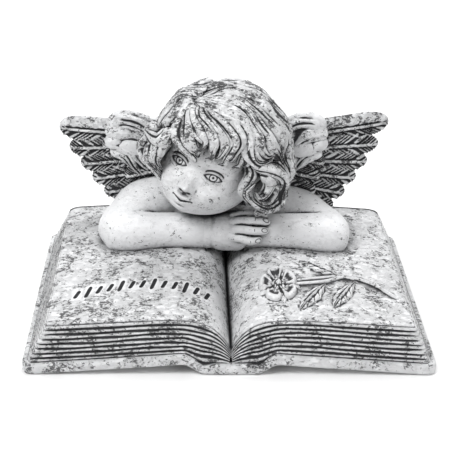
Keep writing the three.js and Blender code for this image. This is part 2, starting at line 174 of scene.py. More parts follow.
def corners_of(obj):
    co = np.empty(len(obj.data.vertices) * 3)
    obj.data.vertices.foreach_get("co", co)
    return co.reshape(-1, 3)


def move_corners(obj, places_mm):
    obj.data.vertices.foreach_set("co", (np.asarray(places_mm) * MM).astype(np.float32).ravel())
    obj.data.update()


def normals_of(obj):
    normals = np.empty(len(obj.data.vertices) * 3)
    obj.data.vertices.foreach_get("normal", normals)
    return normals.reshape(-1, 3)


def ball(name, around, rings):
    deselect()
    bpy.ops.mesh.primitive_uv_sphere_add(segments=around, ring_count=rings, radius=1)
    obj = bpy.context.active_object
    obj.name = name
    return obj


def polar(co):
    """For the points of a ball: the share of the way down from its top, and the way they face."""
    return np.arccos(np.clip(co[:, 2], -1, 1)) / math.pi, np.arctan2(co[:, 0], -co[:, 1])


def keep(obj, name, values):
    """Stores a value at each point, under a name that the paint reads."""
    layer = obj.data.attributes.get(name) or obj.data.attributes.new(name, "FLOAT", "POINT")
    values = np.broadcast_to(np.asarray(values, np.float32), len(obj.data.vertices))
    layer.data.foreach_set("value", np.ascontiguousarray(values))


def mark(obj, speckle, low=0.0):
    """How thick the specks lie (0 on clean skin, 1 on the pages), and how deep in the carving a
    point is (0 on the ridges, 1 in the grooves)."""
    keep(obj, "speckle", speckle)
    keep(obj, "carved_low", low)


def bent_form(name, path, out, half, around, rings, carve=None, speckle=1.0, forward=0.0):
    """A sphere whose rings are moved along a path, as in the solid, with carving on its surface.

    path(t) is a ring's centre, out(t) the way its depth points, half(t) half its width and depth.
    carve(t, across, front, width) gives how far the surface is raised there, in millimetres, and
    how deep in the carving that is. forward gathers the points on the front.
    """
    obj = ball(name, around, rings)
    co = corners_of(obj)
    t = np.clip((1 - co[:, 2]) / 2, 0, 1)
    angle = np.arctan2(-co[:, 1], co[:, 0])
    angle = angle + forward * np.cos(angle)
    step = 1e-3
    along = unit(path(np.minimum(1, t + step)) - path(np.maximum(0, t - step)))
    depth_way = np.broadcast_to(out(t), along.shape)
    depth_way = unit(depth_way - along * (along * depth_way).sum(1, keepdims=True))
    width_way = np.cross(depth_way, along)
    width, depth = (np.broadcast_to(v, t.shape)[:, None] for v in half(t))
    across, front = np.cos(angle)[:, None], np.sin(angle)[:, None]
    places = path(t) + width_way * width * across + depth_way * depth * front
    low = 0.0
    if carve is not None:
        raised, low = carve(t, across[:, 0], front[:, 0], width[:, 0])
        fade = np.minimum(1, 3 * np.sin(np.arccos(np.clip(co[:, 2], -1, 1))))[:, None]
        facing = unit(width_way * across / np.maximum(width, 0.3)
                      + depth_way * front / np.maximum(depth, 0.3))
        places = places + facing * raised[:, None] * fade
    move_corners(obj, places)
    mark(obj, speckle, low)
    return obj


def ellipsoid(name, centre, halves, speckle=0.3, low=0.0):
    obj = ball(name, 48, 32)
    move_corners(obj, corners_of(obj) * np.asarray(halves) + np.asarray(centre))
    mark(obj, speckle, low)
    return obj


def box_grid(name, columns, depth_rows, rows):
    """A cube whose edges are cut evenly, with a different number of cuts each way."""
    deselect()
    bpy.ops.mesh.primitive_cube_add(size=1)
    obj = bpy.context.active_object
    obj.name = name
    bpy.ops.object.mode_set(mode="EDIT")
    bpy.ops.mesh.select_mode(type="EDGE")
    for axis, count in enumerate((columns, depth_rows, rows)):
        bpy.ops.mesh.select_all(action="DESELECT")
        mesh = bmesh.from_edit_mesh(obj.data)
        for edge in mesh.edges:
            way = edge.verts[1].co - edge.verts[0].co
            edge.select = abs(way[axis]) > 0.6 * way.length
        bmesh.update_edit_mesh(obj.data)
        bpy.ops.mesh.subdivide(number_cuts=count - 1)
    bpy.ops.object.mode_set(mode="OBJECT")
    return obj


def modify(obj, kind, **settings):
    choose(obj)
    modifier = obj.modifiers.new(kind.title(), kind)
    for key, value in settings.items():
        setattr(modifier, key, value)
    bpy.ops.object.modifier_apply(modifier=modifier.name)


def combine(obj, others, operation):
    """Adds the other forms to a form or cuts them out of it; they are gone afterwards."""
    group = bpy.data.collections.new("others")
    for other in others:
        group.objects.link(other)
    modify(obj, "BOOLEAN", operand_type="COLLECTION", collection=group, operation=operation,
           solver="MANIFOLD")
    for other in others:
        bpy.data.objects.remove(other)
    bpy.data.collections.remove(group)


def joined(name, forms):
    """All forms as one closed solid."""
    combine(forms[0], forms[1:], "UNION")
    forms[0].name = name
    return forms[0]


# Book

def underside(distance):
    climb = smooth(distance, SPINE_WIDTH / 2, arch_start)
    fall = np.clip((foot_edge - distance) / (foot_edge - arch_start), 0, 1)
    return COVER_ARCH * climb * fall


def cover_top(distance):
    return underside(distance) + COVER_THICKNESS


def page_top(distance):
    gutter = PAGE_OUTER_HEIGHT + PAGE_FALL - PAGE_SWELL
    rise = PAGE_SWELL * (1 - np.exp(-distance / PAGE_ROLL))
    return gutter + rise - PAGE_FALL * distance / half_page


def cover():
    obj = box_grid("cover", 90, 44, 3)
    co = corners_of(obj)
    x = 2 * co[:, 0] * COVER_WIDTH / 2
    y = 2 * co[:, 1] * COVER_DEPTH / 2
    # round corners seen from above
    straight_x, straight_y = COVER_WIDTH / 2 - COVER_CORNER, COVER_DEPTH / 2 - COVER_CORNER
    over_x = np.maximum(0, np.abs(x) - straight_x)
    over_y = np.maximum(0, np.abs(y) - straight_y)
    both = (over_x > 0) & (over_y > 0)
    round_by = np.maximum(over_x, over_y) / np.maximum(np.hypot(over_x, over_y), 1e-9)
    x = np.where(both, np.sign(x) * (straight_x + over_x * round_by), x)
    y = np.where(both, np.sign(y) * (straight_y + over_y * round_by), y)
    distance = np.abs(x)
    z = mix(underside(distance), cover_top(distance), co[:, 2] + 0.5)
    move_corners(obj, np.stack([x, y, z], 1))
    modify(obj, "BEVEL", width=COVER_EDGE * MM, segments=4, limit_method="ANGLE",
           angle_limit=math.radians(50))
    mark(obj, 1.0)
    return obj


def page_half(side):
    rim_start = 0.94
    obj = box_grid("pages", 56, 30, LEAF_COUNT * 6)
    co = corners_of(obj) + 0.5
    column, height = co[:, 0], co[:, 2]
    front = co[:, 1] * 2 - 1
    top_leaf, fore_edge, end_face = height > 0.995, column > 0.999, np.abs(front) > 0.99
    # leaves: rounded ridges with narrow grooves, a little uneven along their length
    wander = 0.18 * np.sin(5 * column + 1.3 * side) + 0.13 * np.sin(13 * column + 9 * front)
    wander = wander + 0.08 * np.sin(31 * column + 7 * front + 20 * height)
    phase = height * LEAF_COUNT + wander * np.sin(math.pi * height)
    groove = LEAF_GROOVE * (1 - np.abs(np.sin(math.pi * phase)) ** 0.6)
    groove = np.where(top_leaf, 0.5, groove) * (end_face | fore_edge)
    fan = 1 - height
    behind = fan * (front > 0)
    reach = half_page + LEAF_FAN * fan - LEAF_GROOVE * 0.4
    corner = np.where(front < 0, PAGE_FRONT_CORNER, PAGE_BACK_CORNER) * (1 - 0.6 * behind)
    start = mix(LEAF_SPREAD, -0.6, height)
    distance = start + (reach - corner - start) * np.minimum(1, column / rim_start)**1.9
    turn = np.clip((column - rim_start) / 0.06, 0, 1) * math.pi / 2
    distance = distance + corner * np.sin(turn) - groove * 1.3 * fore_edge
    end = page_end + 2.0 * fan + 1.5 * behind - groove * end_face
    end = end - corner * (1 - np.cos(turn))
    rise = 1 - np.exp(-((np.maximum(distance, 0) / 12) ** 1.4))
    fall = np.clip((foot_edge - distance) / (foot_edge - arch_start), 0, 1)
    even_rise = COVER_THICKNESS + COVER_ARCH * rise * fall
    lowest = mix(cover_top(distance), even_rise, 0.6 * np.minimum(1, height * 6)) - 0.8
    z = mix(lowest, page_top(np.maximum(distance, 0)), height)
    # the top leaf's edge is soft
    rim_fall = 0.9 * smooth(np.abs(front), 0.965, 1) + 0.9 * smooth(column, 0.93, 1)
    z = z - np.where(top_leaf, np.minimum(rim_fall, 1.1), 0)
    move_corners(obj, np.stack([side * distance, front * end, z], 1))
    if side < 0:
        choose(obj)
        bpy.ops.object.mode_set(mode="EDIT")
        bpy.ops.mesh.select_all(action="SELECT")
        bpy.ops.mesh.flip_normals()
        bpy.ops.object.mode_set(mode="OBJECT")
    lowest_leaf = 1 - smooth(height, 0.06, 0.12)
    edge = ~top_leaf * (0.73 + 0.5 * smooth(groove, 0.1, 0.8)) * (1 - 0.75 * lowest_leaf)
    mark(obj, 1.0, edge)
    return obj


def binding():
    obj = box_grid("binding", 4, 4, 6)
    co = corners_of(obj) + 0.5
    height = co[:, 2]
    gutter = page_top(0.0)
    half_width = mix(LEAF_SPREAD + 2, 1.5, height)
    x = (2 * co[:, 0] - 1) * half_width
    z = mix(COVER_THICKNESS - 2, gutter - 0.2, height)
    move_corners(obj, np.stack([x, (2 * co[:, 1] - 1) * (page_end - 2), z], 1))
    mark(obj, 1.0)
    return obj


def on_page(x, y, lift=0.0):
    return np.stack(np.broadcast_arrays(x, y, page_top(np.abs(x)) + lift), -1)


def page_normal(x):
    step = 0.5
    slope = (page_top(np.abs(x + step)) - page_top(np.abs(x - step))) / (2 * step)
    return unit(np.stack([-slope, np.zeros_like(slope), np.ones_like(slope)], -1))


def blade(name, start, tip, half_width, height, fullness, carve, roundness=0.8, teeth=0):
    def x(t):
        return mix(start[0], tip[0], t)

    def half(t):
        swell = np.sin(math.pi * t**fullness) ** roundness
        notch = 1 - 0.15 * np.cos(math.pi * teeth * t) ** 2 if teeth else 1
        return half_width * swell * notch, height * np.minimum(1, swell * 1.5)

    return bent_form(name, lambda t: on_page(x(t), mix(start[1], tip[1], t), height * 0.1),
                     lambda t: page_normal(x(t)), half, 48, 56, carve, 0.8, 0.35)


def flower_head(centre):
    """Five cupped petals with rolled rims round a small heart, on the page."""
    obj = ball("flower", 180, 110)
    co = corners_of(obj)
    turn = np.arctan2(co[:, 1], co[:, 0])
    above = co[:, 2] > 0
    r = np.where(above, np.hypot(co[:, 0], co[:, 1]), np.sin(np.arccos(np.clip(co[:, 2], -1, 1))))
    fifth = 5 * (turn - math.radians(100)) / (2 * math.pi)
    from_axis = np.abs(fifth - np.round(fifth)) * 2
    outline = 0.66 + 0.37 * (1 - from_axis**2.6) ** 0.55
    rim = 2.1 * smooth(r, 0.58, 0.9) + 1.3 * np.exp(-(((from_axis - 0.66) / 0.14) ** 2)) * (
        smooth(r, 0.3, 0.5) * (1 - smooth(r, 0.8, 0.97)))
    cleft = np.exp(-(((1 - from_axis) * r / 0.13) ** 2)) * smooth(r, 0.2, 0.4)
    cup = (1 - smooth(r, 0.6, 0.86)) * smooth(r, 0.22, 0.4) * (1 - smooth(from_axis, 0.4, 0.7))
    painted_shade_under_rim = np.exp(-(((r - 0.66) / 0.11) ** 2)) * (1 - smooth(from_axis, 0.45, 0.75))
    rays = np.cos(10 * from_axis + 3 * r) * cup
    heart = 2.8 * np.exp(-((r / 0.14) ** 2))
    stamens = np.exp(-(((r - 0.27) / 0.06) ** 2)) * (0.5 + 0.5 * np.cos(10 * turn))
    edge = np.sqrt(np.clip(1 - (np.clip(r - 0.86, 0, 1) / 0.14) ** 2, 0, 1))
    lift = (1.1 + rim - 2.6 * cleft + 0.08 * rays + heart + 1.1 * stamens) * edge
    x = centre[0] + r * outline * FLOWER_WIDTH / 2 * np.cos(turn)
    y = centre[1] + r * outline * FLOWER_LENGTH / 2 * np.sin(turn)
    z = np.where(above, np.maximum(lift, 0.1) - 0.1, -1.5 * np.sqrt(np.clip(1 - r**2, 0, 1)) - 0.1)
    move_corners(obj, on_page(x, y, z))
    round_heart = 0.7 * np.exp(-(((r - 0.19) / 0.05) ** 2))
    # the clefts and the ring round the heart hold wash; the petals' cups and a band under their
    # rolled rims are painted shade
    low = 1.1 * cleft + 0.38 * cup + 0.5 * painted_shade_under_rim - 0.08 * rays + round_heart
    mark(obj, 0.6, np.clip(low, 0, 1) * above)
    return obj


def leaf_carving(t, across, front, width):
    rib = np.exp(-((across / 0.12) ** 2))
    run = np.abs(np.sin(math.pi * (t * 6 - np.abs(across) * 1.1)))
    groove = (1 - run) ** 2.2 * smooth(np.abs(across), 0.08, 0.22)
    facing = smooth(front, 0, 0.3)
    beside_rib = np.exp(-(((np.abs(across) - 0.3) / 0.16) ** 2))
    raised = 0.7 * rib - 0.6 * groove - 0.4 * beside_rib
    return raised * facing, (0.75 * groove + 0.55 * beside_rib) * facing


def sprig():
    flower = (30.5, -36.0)

    def from_heart(turn, share):
        turn = math.radians(turn)
        return (flower[0] + share * FLOWER_WIDTH / 2 * math.cos(turn),
                flower[1] + share * FLOWER_LENGTH / 2 * math.sin(turn))

    def widened(turn, share):
        return mix(FLOWER_WIDTH, FLOWER_LENGTH, abs(math.cos(math.radians(turn)))) * share

    forms = [flower_head(flower)]
    for turn in range(136, 136 + 360, 72):
        forms.append(blade("sepal", from_heart(turn, 0.55), from_heart(turn, 1.12),
                           widened(turn, 0.08), RELIEF_HEIGHT * 0.5, 0.9, None))
    for points, thick in (
        (((40, -36), (60, -31), (75, -24), (90, -31), (104, -47)), 1.5),
        (((42, -31), (56, -27), (69, -24), (80, -26)), 1.1),
    ):
        stem = path_through([on_page(x, y) for x, y in points])
        forms.append(bent_form(
            "stem", stem, lambda t: np.array([0, 0, 1.0]),
            lambda t, r=thick: (r * round_ends(t, 0.05), 1.1 * r * round_ends(t, 0.05)),
            16, 70, speckle=0.8))
    for start, tip, width, fullness in (
        ((70, -24), (46, -6), 4.4, 1.0),
        ((61, -32), (41, -66), 5.2, 1.2),
        ((80, -28), (62, -61), 5.2, 1.2),
    ):
        forms.append(blade("leaf", start, tip, width, RELIEF_HEIGHT, fullness, leaf_carving,
                           roundness=1.0, teeth=5))
    return forms


def strokes():
    forms = []
    for i in range(STROKE_COUNT):
        share = i / (STROKE_COUNT - 1)
        x = mix(-94, -14, share)
        middle = -44 + 9 * math.sin(math.pi * share)
        length = 13 if i % 3 == 1 else 9
        start = on_page(x - 1.4, middle - length / 2)
        end = on_page(x + 1.4, middle + length / 2)
        form = bent_form(
            "stroke", lambda t, a=start, b=end: a + (b - a) * t[:, None],
            lambda t, x=x: page_normal(np.array([x]))[0],
            lambda t: (1.3 * round_ends(t, 0.2), STROKE_DEPTH * round_ends(t, 0.2)),
            20, 24)
        keep(form, "carved_low", 0.95)
        forms.append(form)
    return forms


def book():
    forms = [cover(), page_half(1), page_half(-1), binding(), *sprig()]
    whole = joined("open_book", forms)
    combine(whole, strokes(), "DIFFERENCE")
    return whole


# Body

def limb(name, joints):
    joints = np.asarray(joints, float)
    path = path_through(joints[:, :3])

    def half(t):
        place = t * (len(joints) - 1)
        first = np.minimum(place.astype(int), len(joints) - 2)
        radius = mix(joints[first, 3], joints[first + 1, 3], smooth(place - first, 0, 1))
        radius = radius * round_ends(t, 0.18)
        return radius, radius

    return bent_form(name, path, lambda t: np.array([0, -0.5, 0.85]), half, 48, 64, speckle=0.3)


def body():
    soft = [
        ellipsoid("chest", (0, 55, 42), (50, 24, 24)),
        ellipsoid("neck", (-4, 42, 56), (22, 20, 16)),
        ellipsoid("left elbow", (-70, 26, 42), (16, 17, 14.5)),
        ellipsoid("right elbow", (67, 26, 40), (16, 17, 14.5)),
        limb("left upper arm",
             [(-30, 56, 54, 16), (-56, 47, 48, 18), (-69, 32, 43, 15), (-76, 20, 40, 13)]),
        limb("right upper arm",
             [(26, 56, 48, 16), (50, 47, 43, 17), (64, 34, 40, 15), (74, 20, 38, 13)]),
        limb("left forearm",
             [(-81, 24, 39, 13), (-66, 20, ARM_REST - 2, 14.5),
              (-40, ARM_FRONT, ARM_REST, FOREARM_RADIUS), (0, ARM_FRONT, ARM_REST, 11.4)]),
        limb("right forearm",
             [(80, 24, 38, 13), (66, 20, ARM_REST - 2, 14.5),
              (40, ARM_FRONT, ARM_REST, FOREARM_RADIUS), (-10, 26, ARM_REST - 6, 9)]),
    ]
    arms = joined("arms_and_chest", soft)
    modify(arms, "REMESH", mode="VOXEL", voxel_size=ARM_GRAIN * MM)
    modify(arms, "SMOOTH", factor=0.6, iterations=12)
    hand = joined("hand", [
        limb("back of the hand",
             [(-32, ARM_FRONT, ARM_REST - 1, 7), (-14, ARM_FRONT, ARM_REST, 11.2),
              (-2, ARM_FRONT, ARM_REST + 0.5, 13.2), (8, ARM_FRONT, ARM_REST + 0.2, 13.0),
              (17, ARM_FRONT + 1, ARM_REST - 2, 9)]),
        *fingers()])
    modify(hand, "REMESH", mode="VOXEL", voxel_size=HAND_GRAIN * MM)
    modify(hand, "SMOOTH", factor=0.5, iterations=2)
    # the wrist's fold
    middle = np.array([0, ARM_FRONT, ARM_REST])
    for form in (arms, hand):
        places = corners_of(form) / MM
        round_wrist = np.linalg.norm((places - middle)[:, 1:], axis=1) < 16
        line = -11 + 1.5 * np.cos((places[:, 1] - ARM_FRONT) / 8)
        fold = np.exp(-(((places[:, 0] - line) / 1.5) ** 2)) * round_wrist
        move_corners(form, places - unit((places - middle) * (0, 1, 1)) * fold[:, None] * 0.5)
        between = np.clip(hollow_depth(form, 1.8) / 0.3, 0, 1) * smooth(places[:, 0], 2, 10)
        mark(form, 0.48, 0.15 * fold + between * round_wrist)
    nails(hand)
    return [arms, hand]


def finger_line(finger):
    """The path of a finger round the other arm, and the way its nail faces."""
    reach = FOREARM_RADIUS + 0.5
    turn = math.radians(6 + 25 * finger)
    spread = math.radians(6 + 27 * finger)
    length = FINGER_LENGTH * (0.93, 1.0, 0.95, 0.74)[finger]
    way = np.array([0, -math.sin(turn), math.cos(turn)])
    way_out = np.array([0, -math.sin(spread), math.cos(spread)])
    wrist = np.array([0, ARM_FRONT, ARM_REST])
    return path_through([
        wrist + way * (reach - 2.5),
        wrist + (8, 0, 0) + way * (reach + 0.4),
        wrist + (6 + length * 0.55, 0, 0) + way_out * (reach + 1.3),
        wrist + (6 + length, 0.6, 0) + way_out * (reach - 0.9)]), way


def fingers():
    def half(t):
        radius = mix(FINGER_RADIUS * 1.08, FINGER_RADIUS * 0.86, t) * round_ends(t, 0.16)
        return radius, radius

    forms = []
    for finger in range(4):
        path, out = finger_line(finger)
        forms.append(bent_form("finger", path, lambda t, out=out: out, half, 32, 90, None, 0.3))
    return forms


def nails(hand):
    """A nail with a thin groove round it on each finger, and the creases of its joints."""
    places = corners_of(hand) / MM
    sunk = np.zeros(len(places))
    for finger in range(4):
        path, out = finger_line(finger)
        tip, joint, knuckle = path(np.array([0.9, 0.66, 0.42]))
        across = unit(np.cross(out, [1.0, 0, 0]))
        for centre, sharp in ((joint, 0.8), (knuckle, 0.45)):
            from_line = places - centre
            on_top = (from_line @ out > 1.2) * (np.linalg.norm(from_line, axis=1) < 3.4)
            bow = from_line[:, 0] + 0.12 * (from_line @ across) ** 2
            sunk += sharp * on_top * np.exp(-((bow / 0.36) ** 2)) * smooth(
                2.0 - np.abs(from_line @ across), 0, 1.6)
        from_tip = places - tip - out * 1.6
        ring = np.hypot(from_tip[:, 0] / 2.0, from_tip @ across / 1.5)
        near = (np.linalg.norm(from_tip, axis=1) < 3.6) * (from_tip @ out > -0.9)
        sunk += 1.0 * near * np.exp(-(((ring - 1) / 0.24) ** 2))
    sunk = np.clip(sunk, 0, 1)
    move_corners(hand, places - normals_of(hand) * 0.35 * sunk[:, None])
    low = np.empty(len(places), np.float32)
    hand.data.attributes["carved_low"].data.foreach_get("value", low)
    keep(hand, "carved_low", np.maximum(low, 0.8 * sunk.astype(np.float32)))


# Head

head_turn = np.array(
    Matrix.Translation(HEAD_CENTRE) @ Matrix.Rotation(math.radians(-16), 4, "Z")
    @ Matrix.Rotation(math.radians(-11), 4, "X") @ Matrix.Rotation(math.radians(21), 4, "Y"))


def on_neck(places):
    """From the head's own frame, with its middle at 0 and its face to -y, to the figurine's."""
    return places @ head_turn[:3, :3].T + head_turn[:3, 3]


def hump(x, z, at, wide):
    return np.exp(-(((x - at[0]) / wide[0]) ** 2) - ((z - at[1]) / wide[1]) ** 2)


def features(x, z):
    """How far the features stand forward: usual proportions of a small, calm child."""
    side = np.abs(x)
    bridge = np.exp(-((x / 3.6) ** 2)) * smooth(-z, 2, 16) * smooth(z, -22, -18)
    return (
        1.8 * hump(side, z, (11.5, 4.5), (8, 4))
        - 4.6 * hump(side, z, (12, -5.2), (7.5, 5.5))
        + 3.7 * hump(side, z, (12, -5.8), (5.6, 4.1))
        + 3.2 * bridge
        + 4.8 * hump(x, z, (0, -17.0), (3.7, 3.3))
        + 1.9 * hump(side, z, (4.1, -18.2), (2.1, 1.9))
        + 4.4 * hump(side, z, (18, -19), (9.5, 9))
        + 3.2 * hump(x, z, (0, -27), (8.5, 4.6))
        + 2.1 * hump(x, z, (0, -24.9), (5.0, 1.4))
        + 2.8 * hump(x, z, (0, -28.9), (4.2, 1.7))
        + 5.0 * hump(x, z, (0, -36.4), (8, 4.2))
    )


def fine_features(x, z):
    """Lids, irises, nostrils and the line of the lips: raised, and how deep in the carving."""
    side = np.abs(x)
    eye_x, eye_z = 12.0, -5.8
    inside = np.clip(1 - ((side - eye_x) / 6.2) ** 2, 0, 1)
    upper = eye_z + 2.9 * inside**0.7
    lower = eye_z - 2.5 * inside**0.7
    lid = smooth(inside, 0.0, 0.3)
    upper_rim = lid * np.exp(-(((z - upper - 0.45) / 0.6) ** 2))
    lower_rim = lid * np.exp(-(((z - lower + 0.4) / 0.5) ** 2))
    fold = lid * np.exp(-(((z - upper - 1.9) / 0.5) ** 2))
    opening = smooth(upper - z, 0, 0.5) * smooth(z - lower, 0, 0.5) * (inside > 0)
    r = np.hypot(side - eye_x, z - eye_z - 0.2)
    ring = opening * np.exp(-(((r - 2.25) / 0.28) ** 2))
    pupil = opening * np.exp(-((r / 0.8) ** 2))
    nostril = hump(side, z, (2.5, -20.4), (1.2, 0.9))
    wing_crease = hump(side, z, (6.1, -18.0), (0.8, 1.9))
    mouth = np.clip(1 - (x / 6.4) ** 2, 0, 1)
    bow = -27.0 - 0.3 * np.exp(-((x / 1.6) ** 2)) + 0.25 * np.exp(-(((side - 2.6) / 1.6) ** 2))
    bow = bow + 1.3 * (x / 6) ** 2
    lips = smooth(mouth, 0, 0.4) * np.exp(-(((z - bow) / 0.5) ** 2))
    lip_corner = hump(side, z, (6.5, -25.9), (1.0, 1.0))
    philtrum = hump(x, z, (0, -22.4), (1.0, 1.3))
    under_lip = hump(x, z, (0, -32.2), (5, 1.2))
    brow = hump(side, z - 1.6 * np.cos((side - 12) / 7), (12.5, 3.4), (6.5, 0.9))
    hairs = np.cos(2 * side + 2.5 * z)
    raised = (
        0.95 * upper_rim + 0.6 * lower_rim - 0.7 * fold - 0.75 * opening - 0.5 * ring - 0.7 * pupil
        - 1.6 * nostril - 0.4 * wing_crease - 1.3 * lips - 0.8 * lip_corner - 0.4 * philtrum
        - 0.6 * under_lip + (0.35 + 0.12 * hairs) * brow
    )
    edge = opening * (
        np.exp(-(((z - upper) / 0.5) ** 2)) + 0.7 * np.exp(-(((z - lower) / 0.4) ** 2)))
    low = (
        0.8 * fold + 1.1 * edge + ring + pupil + 0.7 * nostril + 0.1 * wing_crease + 0.75 * lips
        + 0.3 * lip_corner + 0.25 * brow * (1 - hairs)
    )
    return raised, np.clip(low, 0, 1)


def face():
    obj = ball("head", 236, 172)
    share, way = polar(corners_of(obj))
    turn = way - 0.62 * np.sin(way)
    height = np.where(share < 0.2, 1 - share * 3.5, mix(0.3, -1, (share - 0.2) / 0.8))
    low = np.maximum(0, -height)

    def narrow(power):
        return np.where(height > 0, np.sqrt(np.maximum(0, 1 - height**2)),
                        np.maximum(0, 1 - low**power) ** (1 / power))

    x = HEAD_WIDTH / 2 * narrow(2.3) * np.sin(turn)
    z = HEAD_HEIGHT / 2 * height
    ahead = np.maximum(0, np.cos(turn))
    deep = HEAD_DEPTH / 2 * np.where(np.cos(turn) > 0, narrow(3.2), narrow(2.2))
    fade = np.minimum(1, ahead * 1.6) * np.minimum(1, narrow(2) * 1.5)
    fine, carved_low = fine_features(x, z)
    relief = (features(x, z) + fine) * fade
    places = np.stack([x, -deep * np.cos(turn) - relief, z], 1)
    move_corners(obj, on_neck(places))
    mark(obj, 0.6, carved_low * (fade > 0.2))
    return obj


def on_skull(turn, fall, lift):
    turn, fall = np.radians(turn), np.radians(fall)
    way = np.stack([np.sin(fall) * np.sin(turn), -np.sin(fall) * np.cos(turn),
                    np.cos(fall) * np.ones_like(turn)], -1)
    lean = math.radians(-CROWN_LEAN)
    way = np.stack([way[..., 0], way[..., 1] * math.cos(lean) - way[..., 2] * math.sin(lean),
                    way[..., 1] * math.sin(lean) + way[..., 2] * math.cos(lean)], -1)
    size = np.array([HEAD_WIDTH, HEAD_DEPTH, HEAD_HEIGHT]) / 2
    return way * size + way * np.asarray(lift)[..., None]


def turned(obj):
    move_corners(obj, on_neck(corners_of(obj) / MM))
    return obj


def strand_carving(strands, depth, phase, wave, plain_start=0.0):
    """Uneven strands along a lock; they run out into a smooth form where it starts."""
    def carve(t, across, front, width):
        place = np.arccos(np.clip(across, -1, 1)) / math.pi
        turn = strands * (place + 0.09 * np.sin(9 * place + 7 * phase))
        turn = turn + wave * np.sin(2 * math.pi * t + 6 * phase) + phase
        groove = 0.5 - 0.5 * np.cos(2 * math.pi * turn)
        groove = groove**1.15 * (0.75 + 0.3 * np.sin(9 * t + 11 * phase + 5 * place))
        seen = smooth(front, -0.2, 0.3) * smooth(t, plain_start * 0.4, plain_start + 0.01)
        fine = 0.5 + 0.5 * np.cos(6 * math.pi * turn + 4 * t)
        low = 1.12 * groove + 0.3 * fine - 0.05 + 0.7 * smooth(np.abs(across), 0.72, 1)
        return (depth * (0.3 - groove) * 1.7 - 0.2 * fine) * seen, np.clip(low, 0, 1) * seen
    return carve


def lock(points, width, strands=2.4, tip=0.3, outward=None):
    """A lock of hair through places on the head; outward is the way its front faces."""
    path = path_through(points)
    depth = LOCK_DEPTH * 1.12

    def half(t):
        taper = round_ends(t, 0.12) * mix(1, tip, smooth(t, 0.45, 1))
        return width / 2 * taper, depth * taper

    def out(t):
        return unit(path(t)) if outward is None else unit(unit(path(t)) + np.asarray(outward))

    carve = strand_carving(strands, 0.7, rng.uniform(), 0.18)
    return turned(bent_form("lock", path, out, half, 28, 50, carve, 1.15, 0.3))


FRINGE = (
    ((-21, -29, 28), (-22, -37, 18), (-18, -42, 11), (-9, -46, 7), (-2, -47, 3), (-4, -45, 1)),
    ((-19, -29, 29), (-18, -39, 21), (-12, -45, 15), (-5, -48, 11), (0, -47, 8), (-1, -46, 4)),
    ((-17, -30, 30), (-14, -40, 23), (-6, -46, 19), (1, -48, 16), (2, -47, 11)),
    ((-14, -31, 31), (-10, -40, 26), (-2, -46, 24), (6, -47, 18), (8, -46, 9), (3, -44, 5)),
    ((-13, -30, 32), (-7, -38, 29), (2, -44, 27), (10, -46, 21), (12, -46, 14), (10, -45, 10)),
    ((-11, -30, 33), (-3, -37, 32), (7, -41, 29), (15, -44, 22), (16, -44, 11), (11, -42, 6)),
    ((-9, -29, 35), (1, -35, 34), (11, -39, 31), (19, -41, 22), (20, -41, 14), (17, -41, 11)),
    ((-7, -29, 36), (4, -33, 35), (15, -35, 32), (23, -37, 22), (24, -38, 11), (19, -38, 7)),
    ((-3, -29, 36), (8, -32, 35), (18, -33, 29), (25, -35, 20), (28, -34, 12), (25, -33, 8)),
)
SWEEP = (
    ((-19, -28, 32), (-7, -31, 37), (7, -34, 37), (18, -35, 32), (24, -38, 22), (33, -34, 16),
     (41, -24, 20)),
    ((-18, -26, 35), (-3, -30, 39), (12, -30, 38), (23, -31, 32), (28, -34, 25), (36, -27, 21),
     (41, -16, 22)),
    ((-16, -22, 37), (0, -25, 42), (16, -26, 40), (27, -25, 33), (34, -25, 27), (43, -13, 19),
     (48, -6, 8)),
    ((-13, -20, 38), (2, -20, 43), (18, -18, 40), (30, -15, 34), (38, -12, 27), (46, -4, 15),
     (52, 0, 5)),
    ((-12, -14, 40), (4, -11, 44), (20, -8, 42), (31, -4, 36), (39, 0, 28), (46, 2, 18),
     (56, 3, 1)),
    ((-12, -5, 42), (6, 1, 45), (20, 6, 41), (31, 8, 37), (38, 9, 30), (43, 10, 22)),
    ((-12, 8, 43), (5, 11, 45), (19, 13, 43), (29, 14, 39), (35, 15, 32)),
    ((-17, 10, 42), (-7, 16, 44), (4, 20, 43), (14, 22, 40), (22, 23, 36)),
)
LEFT_SIDE = (
    ((-20, -25, 32), (-25, -29, 27), (-28, -34, 20), (-28, -38, 14), (-24, -38, 12)),
    ((-20, -22, 35), (-27, -24, 29), (-32, -28, 22), (-33, -34, 16), (-31, -37, 9)),
    ((-19, -18, 38), (-27, -19, 32), (-32, -23, 25), (-35, -27, 17), (-34, -31, 10)),
    ((-19, -10, 39), (-27, -12, 34), (-32, -16, 27), (-36, -19, 19), (-37, -22, 12)),
    ((-20, 5, 41), (-27, 1, 35), (-31, -10, 29), (-38, -4, 19)),
    ((-20, -28, 30), (-22, -33, 25), (-23, -37, 19), (-23, -38, 13), (-23, -36, 8)),
    ((-25, -38, 12), (-24, -42, 8), (-27, -43, 2), (-34, -38, -1), (-41, -30, -1), (-37, -33, 4)),
    ((-31, -33, 8), (-35, -32, 4), (-38, -31, -3), (-37, -28, -12), (-30, -32, -18),
     (-22, -35, -22), (-18, -32, -25)),
    ((-23, -38, 6), (-27, -40, 0), (-26, -41, -6), (-23, -41, -11), (-18, -37, -15)),
    ((-33, -35, -4), (-29, -39, -9), (-24, -39, -15), (-19, -35, -20)),
)
